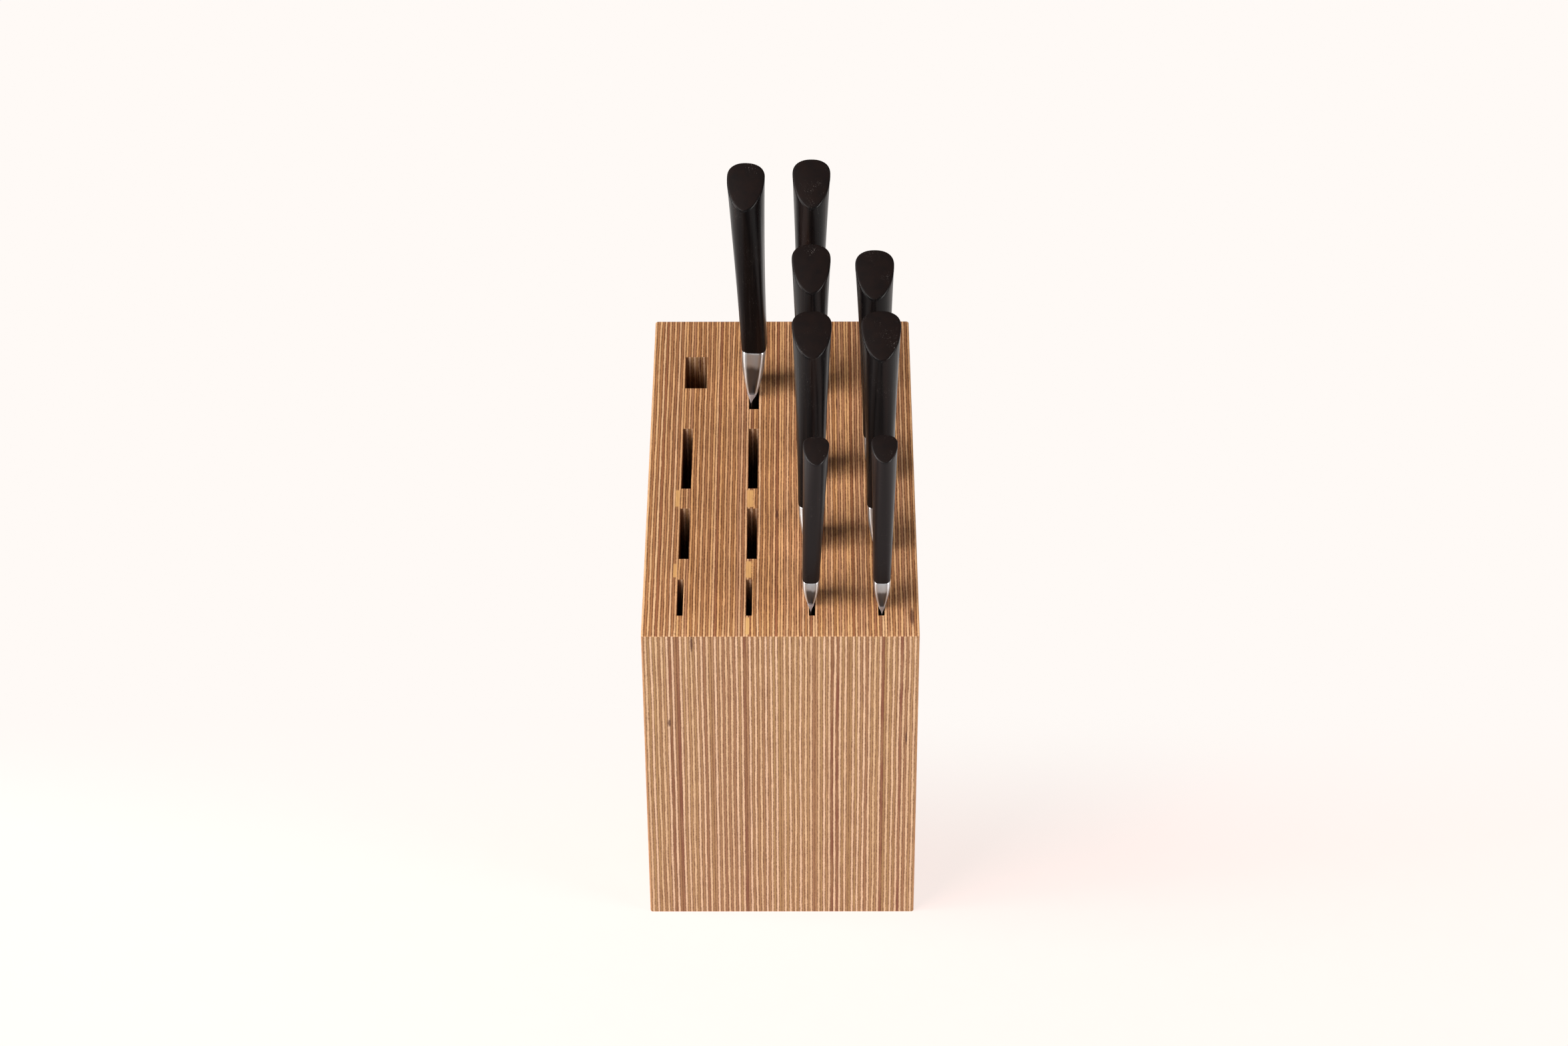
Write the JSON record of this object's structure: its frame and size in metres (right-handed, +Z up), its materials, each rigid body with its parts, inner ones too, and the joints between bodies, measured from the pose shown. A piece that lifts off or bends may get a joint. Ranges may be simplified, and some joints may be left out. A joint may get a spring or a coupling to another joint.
{
  "type": "knife block with knives",
  "caption": "Laminated plywood knife block with upright slots open at the top, holding kitchen knives with steel bolsters and dark one-piece handles that lift straight out.",
  "frame": {"origin": "middle of the block's base, on the surface it stands on", "axes": "+X to the right across the sheets, +Y from the front face to the back, +Z up along the slots"},
  "size_m": [0.144, 0.274, 0.3419],
  "materials": {
    "plywood": "oiled plywood, edge grain",
    "blade_steel": "fine satin",
    "bolster_steel": "soft polish",
    "dark_handle_wood": "satin, near black"
  },
  "bodies": {
    "root": {"plywood_sheet_1": "plywood", "plywood_sheet_2": "plywood", "plywood_sheet_3": "plywood", "plywood_sheet_4": "plywood", "plywood_sheet_5": "plywood", "plywood_sheet_6": "plywood", "plywood_sheet_7": "plywood", "plywood_sheet_8": "plywood"},
    "carving_knife": {"carving_knife_blade": "blade_steel", "carving_knife_bolster": "bolster_steel", "carving_knife_handle": "dark_handle_wood"},
    "slicing_knife": {"slicing_knife_blade": "blade_steel", "slicing_knife_bolster": "bolster_steel", "slicing_knife_handle": "dark_handle_wood"},
    "filleting_knife": {"filleting_knife_blade": "blade_steel", "filleting_knife_bolster": "bolster_steel", "filleting_knife_handle": "dark_handle_wood"},
    "trimming_knife": {"trimming_knife_blade": "blade_steel", "trimming_knife_bolster": "bolster_steel", "trimming_knife_handle": "dark_handle_wood"},
    "utility_knife": {"utility_knife_blade": "blade_steel", "utility_knife_bolster": "bolster_steel", "utility_knife_handle": "dark_handle_wood"},
    "boning_knife": {"boning_knife_blade": "blade_steel", "boning_knife_bolster": "bolster_steel", "boning_knife_handle": "dark_handle_wood"},
    "paring_knife": {"paring_knife_blade": "blade_steel", "paring_knife_bolster": "bolster_steel", "paring_knife_handle": "dark_handle_wood"},
    "peeling_knife": {"peeling_knife_blade": "blade_steel", "peeling_knife_bolster": "bolster_steel", "peeling_knife_handle": "dark_handle_wood"}
  },
  "joints": [
    {"name": "carving_knife_lift", "type": "slide", "parent": "root", "child": "carving_knife", "axis": [0, 0, 1], "range_m": [0, 0.19]},
    {"name": "slicing_knife_lift", "type": "slide", "parent": "root", "child": "slicing_knife", "axis": [0, 0, 1], "range_m": [0, 0.195]},
    {"name": "filleting_knife_lift", "type": "slide", "parent": "root", "child": "filleting_knife", "axis": [0, 0, 1], "range_m": [0, 0.18]},
    {"name": "trimming_knife_lift", "type": "slide", "parent": "root", "child": "trimming_knife", "axis": [0, 0, 1], "range_m": [0, 0.17]},
    {"name": "utility_knife_lift", "type": "slide", "parent": "root", "child": "utility_knife", "axis": [0, 0, 1], "range_m": [0, 0.16]},
    {"name": "boning_knife_lift", "type": "slide", "parent": "root", "child": "boning_knife", "axis": [0, 0, 1], "range_m": [0, 0.15]},
    {"name": "paring_knife_lift", "type": "slide", "parent": "root", "child": "paring_knife", "axis": [0, 0, 1], "range_m": [0, 0.1]},
    {"name": "peeling_knife_lift", "type": "slide", "parent": "root", "child": "peeling_knife", "axis": [0, 0, 1], "range_m": [0, 0.09]}
  ]
}
